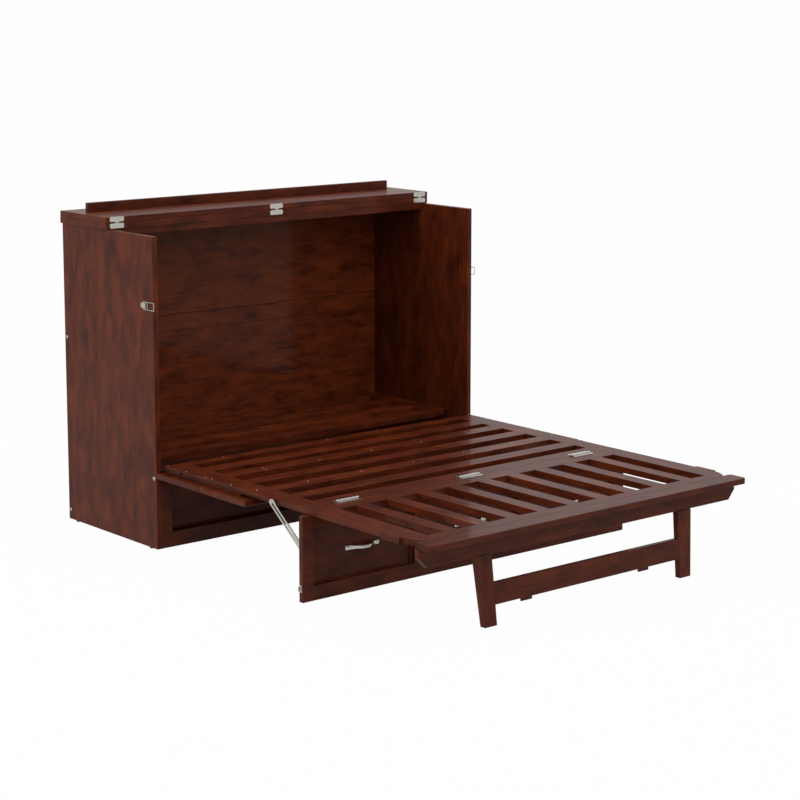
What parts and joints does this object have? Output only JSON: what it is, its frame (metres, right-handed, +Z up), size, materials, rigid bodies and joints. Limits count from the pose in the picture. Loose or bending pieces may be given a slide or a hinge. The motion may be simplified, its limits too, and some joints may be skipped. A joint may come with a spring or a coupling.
{
  "type": "murphy bed",
  "caption": "Fold-away cabinet bed in stained wood: hinged lid, slatted platform that swings up, folding foot panel with legs and a drop leaf faced like drawers.",
  "frame": {"origin": "on the floor, under the middle of the opened bed's box", "axes": "+Z up, +Y towards the cabinet's back, +X across the bed to the right when seen from the foot"},
  "size_m": [1.522, 2.072, 1.2116],
  "materials": {
    "stained_wood": "semi-gloss reddish-brown stain on hardwood",
    "nickel_steel": "satin nickel plate",
    "glide_plastic": "moulded furniture glide"
  },
  "bodies": {
    "cabinet": {"side_left": "stained_wood", "side_right": "stained_wood", "glides": "glide_plastic", "back_lower": "stained_wood", "back_rail": "stained_wood", "back_upper": "stained_wood", "fixed_top": "stained_wood", "top_rail": "stained_wood", "base_frame": "stained_wood", "base_panel": "stained_wood", "deck_ends": "stained_wood", "deck_front": "stained_wood", "deck_slats": "stained_wood", "deck_cleats": "stained_wood", "pivot_plates": "nickel_steel", "lid_hinge_fixed": "nickel_steel", "latch_bases": "nickel_steel"},
    "lid": {"lid_panel": "stained_wood", "lid_strip": "stained_wood", "lid_hinge_leaves": "nickel_steel"},
    "platform": {"platform_stiles": "stained_wood", "platform_rear_rail": "stained_wood", "platform_slats": "stained_wood", "hinge_board": "stained_wood", "platform_battens": "stained_wood", "front_board_low": "stained_wood", "front_board_high": "stained_wood", "pivot_brackets": "nickel_steel", "foot_hinge_fixed": "nickel_steel", "leaf_hinge_fixed": "nickel_steel", "stay_bosses": "nickel_steel"},
    "foot_panel": {"foot_stiles": "stained_wood", "foot_rear_rail": "stained_wood", "foot_end_rail": "stained_wood", "foot_slats": "stained_wood", "foot_end_board": "stained_wood", "foot_strips": "stained_wood", "foot_hinge_leaves": "nickel_steel", "leg_hinge_fixed": "nickel_steel"},
    "leg_frame": {"leg_apron": "stained_wood", "legs": "stained_wood", "leg_stretcher": "stained_wood", "leg_stops": "stained_wood", "leg_hinge_leaves": "nickel_steel"},
    "leaf": {"leaf_frame": "stained_wood", "leaf_panels": "stained_wood", "handles": "nickel_steel", "leaf_hinge_leaves": "nickel_steel", "stay_lugs": "nickel_steel", "strikes": "nickel_steel"},
    "stay_left": {"stay_left": "nickel_steel"},
    "stay_right": {"stay_right": "nickel_steel"},
    "latch_lever_left": {"latch_lever_left": "nickel_steel"},
    "latch_lever_right": {"latch_lever_right": "nickel_steel"},
    "latch_loop_left": {"latch_loop_left": "nickel_steel"},
    "latch_loop_right": {"latch_loop_right": "nickel_steel"}
  },
  "joints": [
    {"name": "platform_swing", "type": "hinge", "parent": "cabinet", "child": "platform", "pos_m": [0, 0.4415, 0.2925], "axis": [-1, 0, 0], "range_deg": [0, 90]},
    {"name": "foot_fold", "type": "hinge", "parent": "platform", "child": "foot_panel", "pos_m": [0, -0.398, 0.3155], "axis": [-1, 0, 0], "range_deg": [0, 180]},
    {"name": "leg_fold", "type": "hinge", "parent": "foot_panel", "child": "leg_frame", "pos_m": [0, -0.9558, 0.289], "axis": [1, 0, 0], "range_deg": [0, 95.7]},
    {"name": "leaf_fold", "type": "hinge", "parent": "platform", "child": "leaf", "pos_m": [0, -0.394, 0.29], "axis": [1, 0, 0], "range_deg": [0, 90]},
    {"name": "stay_left_swing", "type": "hinge", "parent": "leaf", "child": "stay_left", "pos_m": [-0.7253, -0.3818, 0.178], "axis": [1, 0, 0], "range_deg": [-120, 0]},
    {"name": "stay_right_swing", "type": "hinge", "parent": "leaf", "child": "stay_right", "pos_m": [0.7253, -0.3818, 0.178], "axis": [1, 0, 0], "range_deg": [-120, 0]},
    {"name": "lid_fold", "type": "hinge", "parent": "cabinet", "child": "lid", "pos_m": [0, 0.7128, 1.1573], "axis": [1, 0, 0], "range_deg": [0, 180]},
    {"name": "latch_left", "type": "hinge", "parent": "cabinet", "child": "latch_lever_left", "pos_m": [-0.756, 0.479, 0.8845], "axis": [0, 0, 1], "range_deg": [0, 150]},
    {"name": "loop_left", "type": "hinge", "parent": "latch_lever_left", "child": "latch_loop_left", "pos_m": [-0.756, 0.486, 0.8845], "axis": [0, 0, 1], "range_deg": [-150, 0]},
    {"name": "latch_right", "type": "hinge", "parent": "cabinet", "child": "latch_lever_right", "pos_m": [0.756, 0.479, 0.8845], "axis": [0, 0, -1], "range_deg": [0, 150]},
    {"name": "loop_right", "type": "hinge", "parent": "latch_lever_right", "child": "latch_loop_right", "pos_m": [0.756, 0.486, 0.8845], "axis": [0, 0, -1], "range_deg": [-150, 0]}
  ],
  "couplings": [
    {"joint": "foot_fold", "follows": "platform_swing", "ratio": 2},
    {"joint": "leg_fold", "follows": "platform_swing", "ratio": 1.0622},
    {"joint": "leaf_fold", "follows": "platform_swing", "ratio": 1},
    {"joint": "stay_left_swing", "follows": "platform_swing", "ratio": -1.3262},
    {"joint": "stay_right_swing", "follows": "platform_swing", "ratio": -1.3262},
    {"joint": "loop_left", "follows": "latch_left", "ratio": -1},
    {"joint": "loop_right", "follows": "latch_right", "ratio": -1}
  ]
}
